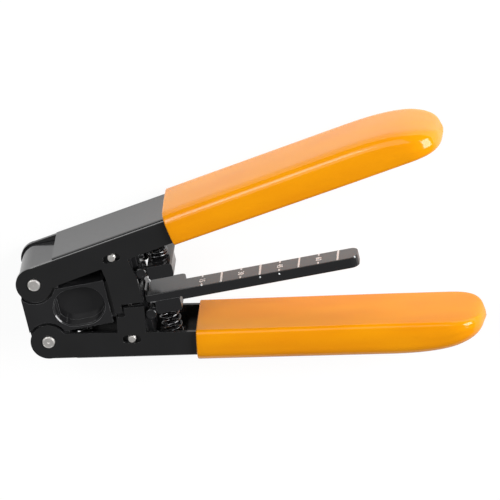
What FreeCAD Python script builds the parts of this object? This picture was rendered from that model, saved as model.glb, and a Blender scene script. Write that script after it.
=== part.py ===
# Drop cable stripper for fibre work: a cast head, two pressed steel levers with dipped grips,
# two sliding blade holders, two sprung clamp pads and a measuring bar.
# The tool lies on its side. X runs along the cable from the nose to the grips, Y is the way the
# levers open, and Z is up through the width of the tool. The origin is under the middle of its box.
import FreeCAD, Part
import math
import os

from FreeCAD import Vector

# Fits and gaps, each side
RUN_FIT = 0.05
PRESS_FIT = 0.02
SIDE_GAP = 0.3
SEAT_GAP = 0.25

# Levers: pressed channel, measured along and across from the pivot pin
PIVOT_Y = 12.1
LEVER_ANGLE = 9.55
LEVER_HALF_WIDTH = 13.1
SHEET = 1.6
CHEEK_RADIUS = 6.9
WEB_OUT = 7.5
FLANGE_IN = 3.4
FLANGE_IN_BACK = 2.6
WEB_START = 10.4
CHANNEL_END = 148.0
BEND_RADIUS = 1.4
DRIVE_X = 31.3
DRIVE_Y = 17.1
SLOT_LENGTH = 6.9
SLOT_GAP = 0.15

# Tabs that meet when the handles are squeezed
TAB_LEFT = 27.6
TAB_RIGHT = 38.9
TAB_ROOT_RIGHT = 37.0
TAB_ROOT_LEAN = 1.0
TAB_ROOT_DEPTH = 1.5
TAB_SHOULDER_Y = 6.5
UPPER_TAB_REACH = 2.2
UPPER_TAB_FALL = 0.8
TOOTH_WIDTH = 2.8
TOOTH_REACH = 5.6
STOP_GAP = 1.75
NOTCH_WIDTH = 3.5
NOTCH_FLOOR_Y = 7.3

# Grips: dipped vinyl, a straight sleeve and a rounded end
GRIP_START = 56.2
GRIP_OUTER_FALL = 134.0
GRIP_SIDE_FALL = 146.0
GRIP_INNER_FALL = 152.0
GRIP_END = 165.0
GRIP_SIDE_WALL = 2.3
GRIP_SIDE_CROWN = 0.05
GRIP_OUTER_CORNER = 3.5
GRIP_INNER_CORNER = 1.5
GRIP_OUTER_WALL = 2.1
GRIP_INNER_WALL = 1.1
GRIP_MOUTH_DEPTH = 4.0
GRIP_BACK_OUT = 10.2
GRIP_BACK_IN = 4.4
DRIP_LENGTH = 1.0
DRIP_RADIUS = 1.2
GRIP_END_STEPS = 7
GRIP_END_TURN = 86.0
FALL_POWER = 2.3
EDGE_FULLNESS = 0.75
SIDE_FULLNESS = 0.5

# Head: a casting with two cheek recesses, a pocket each side and a cable channel
NOSE_X = -6.2
HEAD_RIGHT = 26.1
HEAD_HALF_HEIGHT = 8.8
RECESS_RADIUS = 8.0
NOSE_RADIUS = 6.2
SADDLE_RIGHT = 8.5
TONGUE_RIGHT = 27.5
TONGUE_HALF_HEIGHT = 7.4
POCKET_LEFT = 5.2
POCKET_RIGHT = 24.3
POCKET_RADIUS = 7.4
POCKET_DEPTH = 5.5
RIM_CHAMFER = 0.45
CHANNEL_HALF_HEIGHT = 2.3
CHANNEL_HALF_WIDTH = 3.2
MOUTH_DEPTH = 4.0
MOUTH_FLARE = 1.6
CROSSHEAD_HALF_HEIGHT = 3.4
POST_X = 33.0
POST_WALL = 1.0
POST_RADIUS = 1.5
POST_REACH = 13.0

# Pins
PIVOT_PIN_RADIUS = 2.5
PIVOT_PIN_PROUD = 0.5
DRIVE_PIN_RADIUS = 1.5
DRIVE_PIN_PROUD = 0.2
PIN_CHAMFER = 0.35

# Blade holders and blades, given for the upper one and mirrored for the lower
HOLDER_GAP = 0.4
HOLDER_WIDE_RIGHT = 37.5
HOLDER_NOSE = 1.9
HOLDER_BOTTOM = 4.4
HOLDER_TOP = 20.2
HOLDER_SIDE_GAP = 0.5
FORK_ARM = 1.9
BLADE_THICKNESS = 1.0
BLADE_EDGE_Y = 1.15
BLADE_TOP = 14.0
BLADE_BEVEL = 1.6
BEVEL_LAND = 0.05
CUT_CLEAR = 0.1

# Clamp pads, each on a pair of shoulder pins in the holder's fork
PAD_PIN_AHEAD = 1.0
UPPER_PAD_PIN_Y = 7.8
LOWER_PAD_PIN_Y = 9.4
PAD_PIN_RADIUS = 1.2
PAD_PIN_HEAD_RADIUS = 2.2
PAD_PIN_HEAD = 1.6
PAD_PIN_SIDE_GAP = 0.25
PAD_EAR = 1.7
PAD_EAR_RADIUS = 2.0
FORK_END_RADIUS = 2.0
PAD_CLEAR = 0.2
PAD_LENGTH = 9.7
PAD_SIDE_GAP = 1.4
UPPER_PAD_IN = 4.1
UPPER_PAD_OUT = 9.3
LOWER_PAD_IN = 4.8
LOWER_PAD_OUT = 10.2
PAD_BEVEL = 0.6
RELIEF_TOP = 8.0
RELIEF_NEAR_Z = -3.4
EAR_ROOT = 2.0
PEG_ROOT = 1.0

# Springs, wound with a four-sided wire
UPPER_SPRING_X = 46.8
LOWER_SPRING_X = 45.5
PAD_SPRING_RADIUS = 3.7
PAD_SPRING_WIRE = 0.55
PAD_SPRING_PITCH = 2.6
COIL_STEPS = 8
WIRE_SIDES = 4
PEG_RADIUS = 2.6
PEG_REACH = 3.0
RETURN_SPRING_X = 12.5
RETURN_SPRING_RADIUS = 2.4
RETURN_SPRING_WIRE = 0.4
RETURN_SPRING_PITCH = 1.7
RETURN_PEG_RADIUS = 1.6
RETURN_PEG_REACH = 2.0

# Measuring bar on the lower pad
BAR_STEP = 1.0
FOOT_LEFT = 40.9
LUG_LEFT = 39.8
LUG_BLADE_GAP = 0.5
BAR_LENGTH = 68.4
BAR_TOP_Y = -1.85
BAR_HEIGHT = 4.25
BAR_WIDTH = 9.4
BAR_END_RADIUS = 3.0
PLATE_WIDTH = 14.8
PLATE_OVERHANG = 1.2
PLATE_CORNER = 1.6

FLANGE_INSIDE = LEVER_HALF_WIDTH - SHEET
CORE_HALF_WIDTH = FLANGE_INSIDE - SIDE_GAP
WEB_IN = WEB_OUT - SHEET
GRIP_HALF_WIDTH = LEVER_HALF_WIDTH + GRIP_SIDE_WALL
EAR_OUTSIDE = FLANGE_INSIDE - PAD_PIN_SIDE_GAP - PAD_PIN_HEAD - RUN_FIT
EAR_INSIDE = EAR_OUTSIDE - PAD_EAR
HOLDER_HALF_WIDTH = FLANGE_INSIDE - HOLDER_SIDE_GAP
HOLDER_NOSE_HALF_WIDTH = EAR_INSIDE - SIDE_GAP
FORK_HALF_GAP = HOLDER_NOSE_HALF_WIDTH - FORK_ARM
BLADE_HALF_WIDTH = FORK_HALF_GAP - SIDE_GAP
POST_Z = HOLDER_HALF_WIDTH - POST_WALL - POST_RADIUS
PAD_HALF_WIDTH = FLANGE_INSIDE - PAD_SIDE_GAP
BAR_NEAR_Z = PAD_HALF_WIDTH
HOLDER_LEFT = TONGUE_RIGHT + HOLDER_GAP
HOLDER_FACE = HOLDER_WIDE_RIGHT + HOLDER_NOSE
PAD_PIN_X = HOLDER_FACE + PAD_PIN_AHEAD
PAD_LEFT = PAD_PIN_X + PAD_PIN_HEAD_RADIUS + PAD_CLEAR
PAD_RIGHT = PAD_LEFT + PAD_LENGTH
BAR_START = PAD_RIGHT + BAR_STEP
BAR_END = BAR_START + BAR_LENGTH
FAR = 400.0
ORIGIN = Vector(0, 0, 0)
UP = Vector(0, 0, 1)
parts = {}


def box(low, high):
    """A block between two opposite corners."""
    size = [b - a for a, b in zip(low, high)]
    return Part.makeBox(*size, Vector(*low))


def prism(points, half_width, start=None):
    """A flat outline in X and Y, drawn out along Z about the middle, or from start upwards."""
    low = -half_width if start is None else start
    length = 2 * half_width if start is None else half_width - start
    wire = Part.makePolygon([Vector(x, y, low) for x, y in points + points[:1]])
    return Part.Face(wire).extrude(UP * length)


def rod(x, y, radius, low, high):
    """A round bar along Z."""
    return Part.makeCylinder(radius, high - low, Vector(x, y, low))


def both_sides(shape):
    """A shape and its mirror image across the middle of the tool's width."""
    return shape.fuse(shape.mirror(ORIGIN, UP))


def lower(shape):
    """The mirror image of an upper piece across the cable's line."""
    return shape.mirror(ORIGIN, Vector(0, 1, 0))


def seat_lever(shape):
    """Carry a shape from the upper lever's own frame to its place with the handles open."""
    shape.rotate(ORIGIN, UP, LEVER_ANGLE)
    shape.translate(Vector(0, PIVOT_Y, 0))
    return shape


def along_lever(x, y):
    """A point of the tool, measured along and across the upper lever from its pivot."""
    angle = math.radians(LEVER_ANGLE)
    dy = y - PIVOT_Y
    return (x * math.cos(angle) + dy * math.sin(angle), dy * math.cos(angle) - x * math.sin(angle))


def web_inside_y(x):
    """The height of the upper lever's web, on its inner face, at a place along the tool."""
    angle = math.radians(LEVER_ANGLE)
    return PIVOT_Y + x * math.tan(angle) + WEB_IN / math.cos(angle)


def stadium(x0, x1, y, radius, low, high):
    """A slot with round ends along X."""
    middle = box((x0, y - radius, low), (x1, y + radius, high))
    return middle.fuse([rod(x0, y, radius, low, high), rod(x1, y, radius, low, high)]).removeSplitter()


def upper_tab():
    """The upper flange's tab, with the tooth at its front."""
    tooth_right = TAB_LEFT + TOOTH_WIDTH
    return [
        (TAB_LEFT - TAB_ROOT_LEAN, PIVOT_Y + TAB_ROOT_DEPTH),
        (TAB_LEFT, TAB_SHOULDER_Y),
        (TAB_LEFT, -TOOTH_REACH),
        (tooth_right, -TOOTH_REACH),
        (tooth_right, -UPPER_TAB_REACH),
        (TAB_RIGHT, -UPPER_TAB_REACH - UPPER_TAB_FALL),
        (TAB_RIGHT, TAB_SHOULDER_Y),
        (TAB_ROOT_RIGHT, PIVOT_Y + 3 * TAB_ROOT_DEPTH),
    ]


def lower_tab():
    """The lower flange's tab, drawn as if it were above, notched for the upper one's tooth."""
    notch_right = TAB_LEFT + NOTCH_WIDTH
    top = UPPER_TAB_REACH + STOP_GAP
    return [
        (TAB_LEFT - TAB_ROOT_LEAN, PIVOT_Y + TAB_ROOT_DEPTH),
        (TAB_LEFT, NOTCH_FLOOR_Y),
        (notch_right, NOTCH_FLOOR_Y),
        (notch_right, top),
        (TAB_RIGHT, top + UPPER_TAB_FALL),
        (TAB_ROOT_RIGHT, PIVOT_Y + 3 * TAB_ROOT_DEPTH),
    ]


def lever(tab):
    """A pressed channel: web outside, two flanges with round cheeks, slots and tabs."""
    flange = [
        (0, -FLANGE_IN),
        (GRIP_START, -FLANGE_IN_BACK),
        (CHANNEL_END, -FLANGE_IN_BACK),
        (CHANNEL_END, WEB_OUT),
        (0, WEB_OUT),
    ]
    outline = prism(flange, LEVER_HALF_WIDTH)
    bends = [
        e for e in outline.Edges
        if e.Length > CHANNEL_END / 2 and e.CenterOfMass.y > WEB_OUT / 2
    ]
    outline = outline.makeFillet(BEND_RADIUS, bends)
    front = box((0, CHEEK_RADIUS, -LEVER_HALF_WIDTH), (WEB_START, WEB_OUT, LEVER_HALF_WIDTH))
    front_open = box((-FAR, -FAR, -FLANGE_INSIDE), (WEB_START, FAR, FLANGE_INSIDE))
    inside = box((0, -FAR, -FLANGE_INSIDE), (FAR, WEB_IN, FLANGE_INSIDE))
    cheek = rod(0, 0, CHEEK_RADIUS, -LEVER_HALF_WIDTH, LEVER_HALF_WIDTH)
    channel = outline.cut(front).fuse(cheek).cut(front_open.fuse(inside))
    channel = seat_lever(channel)
    tabs = both_sides(prism(tab, LEVER_HALF_WIDTH, FLANGE_INSIDE))
    along, across = along_lever(DRIVE_X, DRIVE_Y)
    half = (SLOT_LENGTH - 2 * (DRIVE_PIN_RADIUS + SLOT_GAP)) / 2
    slot = seat_lever(
        stadium(along - half, along + half, across, DRIVE_PIN_RADIUS + SLOT_GAP, -FAR / 2, FAR / 2)
    )
    hole = rod(0, PIVOT_Y, PIVOT_PIN_RADIUS + RUN_FIT, -FAR / 2, FAR / 2)
    return channel.fuse(tabs).cut(slot.fuse(hole)).removeSplitter()


def rounded_section(along, inner, outer, half_width, inner_corner, outer_corner):
    """A rounded oblong across the lever, as a closed wire, with its own radius on each side."""
    n0, n1, w, c0, c1 = inner, outer, half_width, inner_corner, outer_corner
    k0, k1 = [c * (1 - math.sqrt(0.5)) for c in (c0, c1)]

    def at(n, z):
        return Vector(along, n, z)

    straight = [
        (at(n0 + c0, -w), at(n1 - c1, -w)),
        (at(n1, -w + c1), at(n1, w - c1)),
        (at(n1 - c1, w), at(n0 + c0, w)),
        (at(n0, w - c0), at(n0, -w + c0)),
    ]
    middle = [at(n1 - k1, -w + k1), at(n1 - k1, w - k1), at(n0 + k0, w - k0), at(n0 + k0, -w + k0)]
    edges = []
    for i, (a, b) in enumerate(straight):
        edges.append(Part.LineSegment(a, b).toShape())
        edges.append(Part.Arc(b, middle[i], straight[(i + 1) % 4][0]).toShape())
    return Part.Wire(edges)


def fullness(along, start, root):
    """How much of the grip's full size is left at a place along its rounded end."""
    share = max(0, along - start) / (GRIP_END - start)
    return (1 - share ** FALL_POWER) ** root


def grip_section(along, out, inner, half_width):
    """A section of the grip's end, rounder the narrower it is."""
    outer_side = out * fullness(along, GRIP_OUTER_FALL, EDGE_FULLNESS)
    inner_side = inner * fullness(along, GRIP_INNER_FALL, EDGE_FULLNESS)
    size = fullness(along, GRIP_SIDE_FALL, SIDE_FULLNESS)
    half = (outer_side + inner_side) / 2
    corners = [
        (corner + (half - corner) * (1 - size)) * min(1, half / corner)
        for corner in (GRIP_INNER_CORNER, GRIP_OUTER_CORNER)
    ]
    return rounded_section(along, -inner_side, outer_side, half_width * size, *corners)


def grip():
    """A dipped vinyl sleeve, filled behind its mouth, with a full round end and a small drip."""
    front_in = FLANGE_IN_BACK + GRIP_INNER_WALL
    front_out = WEB_OUT + GRIP_OUTER_WALL
    width = GRIP_HALF_WIDTH + GRIP_SIDE_CROWN
    sections = [
        grip_section(GRIP_START, front_out, front_in, width),
        grip_section(GRIP_OUTER_FALL, GRIP_BACK_OUT, GRIP_BACK_IN, width),
    ]
    for step in range(1, GRIP_END_STEPS + 1):
        turn = math.radians(GRIP_END_TURN * step / GRIP_END_STEPS)
        along = GRIP_OUTER_FALL + (GRIP_END - GRIP_OUTER_FALL) * math.sin(turn)
        sections.append(grip_section(along, GRIP_BACK_OUT, GRIP_BACK_IN, width))
    drip_corner = DRIP_RADIUS - GRIP_SIDE_CROWN
    sections.append(
        rounded_section(
            GRIP_END + DRIP_LENGTH,
            -DRIP_RADIUS,
            DRIP_RADIUS,
            DRIP_RADIUS,
            drip_corner,
            drip_corner,
        )
    )
    sleeve = Part.makeLoft(sections, True, True)
    hollow = box(
        (GRIP_START - SHEET, -FLANGE_IN_BACK, -LEVER_HALF_WIDTH),
        (CHANNEL_END, WEB_OUT, LEVER_HALF_WIDTH),
    )
    filling = box(
        (GRIP_START + GRIP_MOUTH_DEPTH, -FLANGE_IN_BACK, -FLANGE_INSIDE),
        (CHANNEL_END, WEB_IN, FLANGE_INSIDE),
    )
    flat_sides = box((0, -FAR, -GRIP_HALF_WIDTH), (FAR, FAR, GRIP_HALF_WIDTH))
    skin = sleeve.common(flat_sides)
    return seat_lever(skin.cut(hollow.cut(filling)).removeSplitter())


def head_frame():
    """The cast head: core between the cheeks, full-width sides, pockets, channel and crosshead."""
    core = box(
        (NOSE_X, -PIVOT_Y, -CORE_HALF_WIDTH), (NOSE_RADIUS, PIVOT_Y, CORE_HALF_WIDTH)
    )
    saddle = box(
        (0, PIVOT_Y - NOSE_RADIUS, -CORE_HALF_WIDTH),
        (SADDLE_RIGHT, PIVOT_Y + NOSE_RADIUS, CORE_HALF_WIDTH),
    )
    core = core.fuse([saddle, lower(saddle)])
    for side in (1, -1):
        core = core.fuse(rod(0, side * PIVOT_Y, NOSE_RADIUS, -CORE_HALF_WIDTH, CORE_HALF_WIDTH))
    sides = box(
        (NOSE_X, -HEAD_HALF_HEIGHT, -LEVER_HALF_WIDTH),
        (HEAD_RIGHT, HEAD_HALF_HEIGHT, LEVER_HALF_WIDTH),
    )
    for side in (1, -1):
        recess = rod(0, side * PIVOT_Y, RECESS_RADIUS, CORE_HALF_WIDTH, FAR)
        sides = sides.cut(both_sides(recess))
    pocket = stadium(
        POCKET_LEFT + POCKET_RADIUS,
        POCKET_RIGHT - POCKET_RADIUS,
        0,
        POCKET_RADIUS,
        LEVER_HALF_WIDTH - POCKET_DEPTH,
        FAR,
    )
    sides = sides.cut(both_sides(pocket))
    rims = [
        e for e in sides.Edges
        if abs(abs(e.BoundBox.ZMin) - LEVER_HALF_WIDTH) < 1e-3
        and e.BoundBox.ZLength < 1e-3
        and e.BoundBox.XMin > POCKET_LEFT - 1e-3
        and e.BoundBox.XMax < POCKET_RIGHT + 1e-3
        and e.BoundBox.YMax < POCKET_RADIUS + 1e-3
        and e.BoundBox.YMin > -POCKET_RADIUS - 1e-3
    ]
    sides = sides.makeChamfer(RIM_CHAMFER, rims)
    tongue = box(
        (0, -TONGUE_HALF_HEIGHT, -CORE_HALF_WIDTH), (TONGUE_RIGHT, TONGUE_HALF_HEIGHT, CORE_HALF_WIDTH)
    ).cut(both_sides(pocket))
    crosshead = box(
        (0, -CROSSHEAD_HALF_HEIGHT, -CORE_HALF_WIDTH),
        (HOLDER_FACE - SIDE_GAP, CROSSHEAD_HALF_HEIGHT, CORE_HALF_WIDTH),
    ).cut(both_sides(pocket))
    pegs = []
    for side in (1, -1):
        peg = Part.makeCylinder(
            RETURN_PEG_RADIUS,
            HEAD_HALF_HEIGHT + RETURN_PEG_REACH,
            Vector(RETURN_SPRING_X, 0, 0),
            Vector(0, side, 0),
        )
        pegs.append(peg)
    body = core.fuse([sides, tongue, crosshead] + pegs)
    channel = box(
        (NOSE_X - 1, -CHANNEL_HALF_HEIGHT, -CHANNEL_HALF_WIDTH),
        (FAR, CHANNEL_HALF_HEIGHT, CHANNEL_HALF_WIDTH),
    )
    mouth = Part.makeLoft(
        [
            Part.makePolygon([Vector(x, y, z) for y, z in corners])
            for x, corners in (
                (NOSE_X, oblong(CHANNEL_HALF_HEIGHT + MOUTH_FLARE, CHANNEL_HALF_WIDTH + MOUTH_FLARE)),
                (NOSE_X + MOUTH_DEPTH, oblong(CHANNEL_HALF_HEIGHT, CHANNEL_HALF_WIDTH)),
            )
        ],
        True,
        True,
    )
    holes = [channel, mouth]
    for side in (1, -1):
        holes.append(rod(0, side * PIVOT_Y, PIVOT_PIN_RADIUS + PRESS_FIT, -FAR / 2, FAR / 2))
        holes.append(post_bar(POST_RADIUS + PRESS_FIT, FAR / 2, side * POST_Z))
    return body.cut(holes).removeSplitter()


def oblong(half_y, half_z):
    """The four corners of an oblong across the cable, and the first again."""
    return [
        (-half_y, -half_z),
        (half_y, -half_z),
        (half_y, half_z),
        (-half_y, half_z),
        (-half_y, -half_z),
    ]


def post_bar(radius, reach, z):
    """A round bar along Y, through the crosshead's middle."""
    return Part.makeCylinder(radius, 2 * reach, Vector(POST_X, -reach, z), Vector(0, 1, 0))


def guide_posts():
    """Two ground posts, pressed in the crosshead, that the blade holders slide on."""
    return Part.makeCompound([post_bar(POST_RADIUS, POST_REACH, side * POST_Z) for side in (1, -1)])


def pivot_pin(half_length):
    """The rivet that a lever turns on, its ends chamfered."""
    shape = rod(0, PIVOT_Y, PIVOT_PIN_RADIUS, -half_length, half_length)
    ends = [e for e in shape.Edges if e.BoundBox.ZLength < 1e-3]
    return shape.makeChamfer(PIN_CHAMFER, ends)


def blade_holder(pad_pin_y):
    """A block on the guide posts, with a fork at its rear for the clamp pad's pins."""
    block = box(
        (HOLDER_LEFT, HOLDER_BOTTOM, -HOLDER_HALF_WIDTH),
        (HOLDER_WIDE_RIGHT, HOLDER_TOP, HOLDER_HALF_WIDTH),
    )
    nose = box(
        (HOLDER_LEFT, HOLDER_BOTTOM, -HOLDER_NOSE_HALF_WIDTH),
        (HOLDER_FACE, HOLDER_TOP, HOLDER_NOSE_HALF_WIDTH),
    )
    arm = box(
        (HOLDER_LEFT, pad_pin_y - FORK_END_RADIUS, FORK_HALF_GAP),
        (PAD_PIN_X, pad_pin_y + FORK_END_RADIUS, HOLDER_NOSE_HALF_WIDTH),
    ).fuse(rod(PAD_PIN_X, pad_pin_y, FORK_END_RADIUS, FORK_HALF_GAP, HOLDER_NOSE_HALF_WIDTH))
    holes = [
        rod(DRIVE_X, DRIVE_Y, DRIVE_PIN_RADIUS + PRESS_FIT, -FAR / 2, FAR / 2),
        rod(PAD_PIN_X, pad_pin_y, PAD_PIN_RADIUS + PRESS_FIT, -FAR / 2, FAR / 2),
    ]
    for side in (1, -1):
        holes.append(
            Part.makeCylinder(
                POST_RADIUS + RUN_FIT,
                POST_REACH + 1,
                Vector(POST_X, 0, side * POST_Z),
                Vector(0, 1, 0),
            )
        )
    return block.fuse([nose, both_sides(arm)]).cut(holes).removeSplitter()


def blade():
    """A flat steel blade, ground on one side to a straight edge."""
    plate = box(
        (HOLDER_FACE, BLADE_EDGE_Y, -BLADE_HALF_WIDTH),
        (HOLDER_FACE + BLADE_THICKNESS, BLADE_TOP, BLADE_HALF_WIDTH),
    )
    ground = prism(
        [
            (HOLDER_FACE + BEVEL_LAND, BLADE_EDGE_Y),
            (HOLDER_FACE + BLADE_THICKNESS + CUT_CLEAR, BLADE_EDGE_Y - CUT_CLEAR),
            (HOLDER_FACE + BLADE_THICKNESS + CUT_CLEAR, BLADE_EDGE_Y + BLADE_BEVEL),
        ],
        LEVER_HALF_WIDTH,
    )
    return plate.cut(ground)


def pad_pins(pad_pin_y):
    """Two shoulder pins: each head lies outside the pad's ear, each shank ends in the fork."""
    head_low = EAR_OUTSIDE + RUN_FIT
    head = rod(PAD_PIN_X, pad_pin_y, PAD_PIN_HEAD_RADIUS, head_low, head_low + PAD_PIN_HEAD)
    shank = rod(PAD_PIN_X, pad_pin_y, PAD_PIN_RADIUS, FORK_HALF_GAP, head_low)
    one = head.fuse(shank)
    return Part.makeCompound([one, one.mirror(ORIGIN, UP)])


def clamp_pad(pad_in, pad_out, pad_pin_y, spring_x):
    """A steel pad with two ears on the shoulder pins and a peg for its spring."""
    body = box((PAD_LEFT, pad_in, -PAD_HALF_WIDTH), (PAD_RIGHT, pad_out, PAD_HALF_WIDTH))
    long_edges = [e for e in body.Edges if e.Length > PAD_HALF_WIDTH * 1.5]
    body = body.makeChamfer(PAD_BEVEL, long_edges)
    ear = rod(PAD_PIN_X, pad_pin_y, PAD_EAR_RADIUS, EAR_INSIDE, EAR_OUTSIDE).fuse(
        box(
            (PAD_PIN_X, pad_pin_y - PAD_EAR_RADIUS, EAR_INSIDE),
            (PAD_LEFT + EAR_ROOT, min(pad_pin_y + PAD_EAR_RADIUS, pad_out), EAR_OUTSIDE),
        )
    )
    hole = rod(PAD_PIN_X, pad_pin_y, PAD_PIN_RADIUS + RUN_FIT, -FAR / 2, FAR / 2)
    peg = Part.makeCylinder(
        PEG_RADIUS, PEG_REACH + PEG_ROOT, Vector(spring_x, pad_out - PEG_ROOT, 0), Vector(0, 1, 0)
    )
    return body.fuse([both_sides(ear), peg]).cut(hole).removeSplitter()


def upper_pad():
    """The upper clamp pad, relieved along its far side so that a flat cable can be laid in."""
    relief = box(
        (PAD_LEFT - FAR, -FAR, -FAR),
        (FAR, RELIEF_TOP, RELIEF_NEAR_Z),
    )
    ears = box((0, 0, -FAR), (PAD_LEFT, FAR, FAR))
    pad = clamp_pad(UPPER_PAD_IN, UPPER_PAD_OUT, UPPER_PAD_PIN_Y, UPPER_SPRING_X)
    return pad.cut(relief.cut(ears)).removeSplitter()


def spring_peg(spring_x):
    """A stud on the inside of the web that keeps the pad's spring in place."""
    low = web_inside_y(spring_x) - PEG_REACH
    stud = Part.makeCylinder(PEG_RADIUS, 2 * PEG_REACH, Vector(spring_x, low, 0), Vector(0, 1, 0))
    inside = seat_lever(box((0, -FAR, -FLANGE_INSIDE), (CHANNEL_END, WEB_IN, FLANGE_INSIDE)))
    return stud.common(inside)


def spring(x, low, high, radius, wire, pitch):
    """A coil along Y between two heights, of short straight lengths of four-sided wire."""
    turns = (high - low - 2 * wire) / pitch
    sections = []
    for i in range(round(turns * COIL_STEPS) + 1):
        turn = 2 * math.pi * i / COIL_STEPS
        middle = low + wire + pitch * i / COIL_STEPS
        corners = []
        for k in range(WIRE_SIDES + 1):
            angle = 2 * math.pi * k / WIRE_SIDES
            out = radius + wire * math.cos(angle)
            corners.append(
                Vector(
                    x + out * math.cos(turn), middle + wire * math.sin(angle), out * math.sin(turn)
                )
            )
        sections.append(Part.makePolygon(corners))
    return Part.makeLoft(sections, True, True)


def pad_spring(pad_out, spring_x):
    """The spring between a clamp pad and the web of its lever."""
    reach = spring_x - PAD_SPRING_RADIUS - PAD_SPRING_WIRE
    return spring(
        spring_x,
        pad_out + SEAT_GAP,
        web_inside_y(reach) - SEAT_GAP,
        PAD_SPRING_RADIUS,
        PAD_SPRING_WIRE,
        PAD_SPRING_PITCH,
    )


def return_spring():
    """The spring between the head and a lever's web, which opens the handles."""
    reach = RETURN_SPRING_X - RETURN_SPRING_RADIUS - RETURN_SPRING_WIRE
    return spring(
        RETURN_SPRING_X,
        HEAD_HALF_HEIGHT + SEAT_GAP,
        web_inside_y(reach) - SEAT_GAP,
        RETURN_SPRING_RADIUS,
        RETURN_SPRING_WIRE,
        RETURN_SPRING_PITCH,
    )


def measuring_bar():
    """A foot plate on the lower pad, a lug beside the blade and a narrower long bar."""
    far_z = BAR_NEAR_Z - BAR_WIDTH
    foot_bottom = -LOWER_PAD_IN
    bar = box((BAR_START, BAR_TOP_Y - BAR_HEIGHT, far_z), (BAR_END, BAR_TOP_Y, BAR_NEAR_Z))
    corners = [
        e for e in bar.Edges
        if e.BoundBox.YLength > BAR_HEIGHT / 2 and e.BoundBox.XMin > BAR_END - 1
    ]
    bar = bar.makeFillet(BAR_END_RADIUS, corners)
    foot_far_z = BAR_NEAR_Z - PLATE_WIDTH
    foot_right = BAR_START + PLATE_OVERHANG
    foot = box((FOOT_LEFT, foot_bottom, foot_far_z), (foot_right, BAR_TOP_Y, BAR_NEAR_Z))
    corner = [
        e for e in foot.Edges
        if e.BoundBox.YLength > PLATE_CORNER and e.BoundBox.XMin > BAR_START and e.BoundBox.ZMax < far_z
    ]
    foot = foot.makeFillet(PLATE_CORNER, corner)
    lug_far_z = BLADE_HALF_WIDTH + LUG_BLADE_GAP
    lug = box((LUG_LEFT, foot_bottom, lug_far_z), (FOOT_LEFT + PLATE_CORNER, BAR_TOP_Y, BAR_NEAR_Z))
    return bar.fuse([foot, lug]).removeSplitter()


def build_parts():
    """Every piece, by the name of its file."""
    pivot_half = LEVER_HALF_WIDTH + PIVOT_PIN_PROUD
    drive_half = LEVER_HALF_WIDTH + DRIVE_PIN_PROUD
    parts["head_frame"] = head_frame()
    parts["guide_posts"] = guide_posts()
    parts["upper_lever"] = lever(upper_tab())
    parts["lower_lever"] = lower(lever(lower_tab()))
    parts["upper_pivot_pin"] = pivot_pin(pivot_half)
    parts["upper_drive_pin"] = rod(DRIVE_X, DRIVE_Y, DRIVE_PIN_RADIUS, -drive_half, drive_half)
    parts["upper_grip"] = grip()
    parts["upper_return_spring"] = return_spring()
    parts["upper_blade"] = blade()
    twins = [name for name in parts if name.startswith("upper_") and name != "upper_lever"]
    for name in twins:
        parts[name.replace("upper_", "lower_")] = lower(parts[name])
    parts["upper_blade_holder"] = blade_holder(UPPER_PAD_PIN_Y)
    parts["lower_blade_holder"] = lower(blade_holder(LOWER_PAD_PIN_Y))
    parts["upper_pad_pins"] = pad_pins(UPPER_PAD_PIN_Y)
    parts["lower_pad_pins"] = lower(pad_pins(LOWER_PAD_PIN_Y))
    parts["upper_pad"] = upper_pad()
    parts["lower_pad"] = lower(
        clamp_pad(LOWER_PAD_IN, LOWER_PAD_OUT, LOWER_PAD_PIN_Y, LOWER_SPRING_X)
    )
    parts["upper_pad_spring"] = pad_spring(UPPER_PAD_OUT, UPPER_SPRING_X)
    parts["lower_pad_spring"] = lower(pad_spring(LOWER_PAD_OUT, LOWER_SPRING_X))
    parts["upper_spring_peg"] = spring_peg(UPPER_SPRING_X)
    parts["lower_spring_peg"] = lower(spring_peg(LOWER_SPRING_X))
    parts["measuring_bar"] = measuring_bar()


def export_parts():
    """Put the origin under the middle of the tool's box and write each piece."""
    os.makedirs("parts", exist_ok=True)
    left = -CHEEK_RADIUS
    right = parts["upper_grip"].optimalBoundingBox(False, False).XMax
    move = Vector(-(left + right) / 2, 0, GRIP_HALF_WIDTH)
    for name, shape in parts.items():
        shape.translate(move)
        shape.exportStep(f"parts/{name}.step")
    print(f"moved by {move.x:.4f}, {move.y:.4f}, {move.z:.4f}")


build_parts()
export_parts()
for name, shape in sorted(parts.items()):
    print(f"{name}: solids {len(shape.Solids)}, valid {shape.isValid()}, volume {shape.Volume:.1f}")
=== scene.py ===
# A drop cable stripper lying on its side, photographed on white. X runs along the cable from
# the nose to the grips, Y is the way the levers open, and Z is up through the tool's width.
# It is put together here as at the bench: head, levers, pins, springs, jaws, bar and grips.
import bpy
import bmesh
import math
from mathutils import Matrix, Vector


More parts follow.
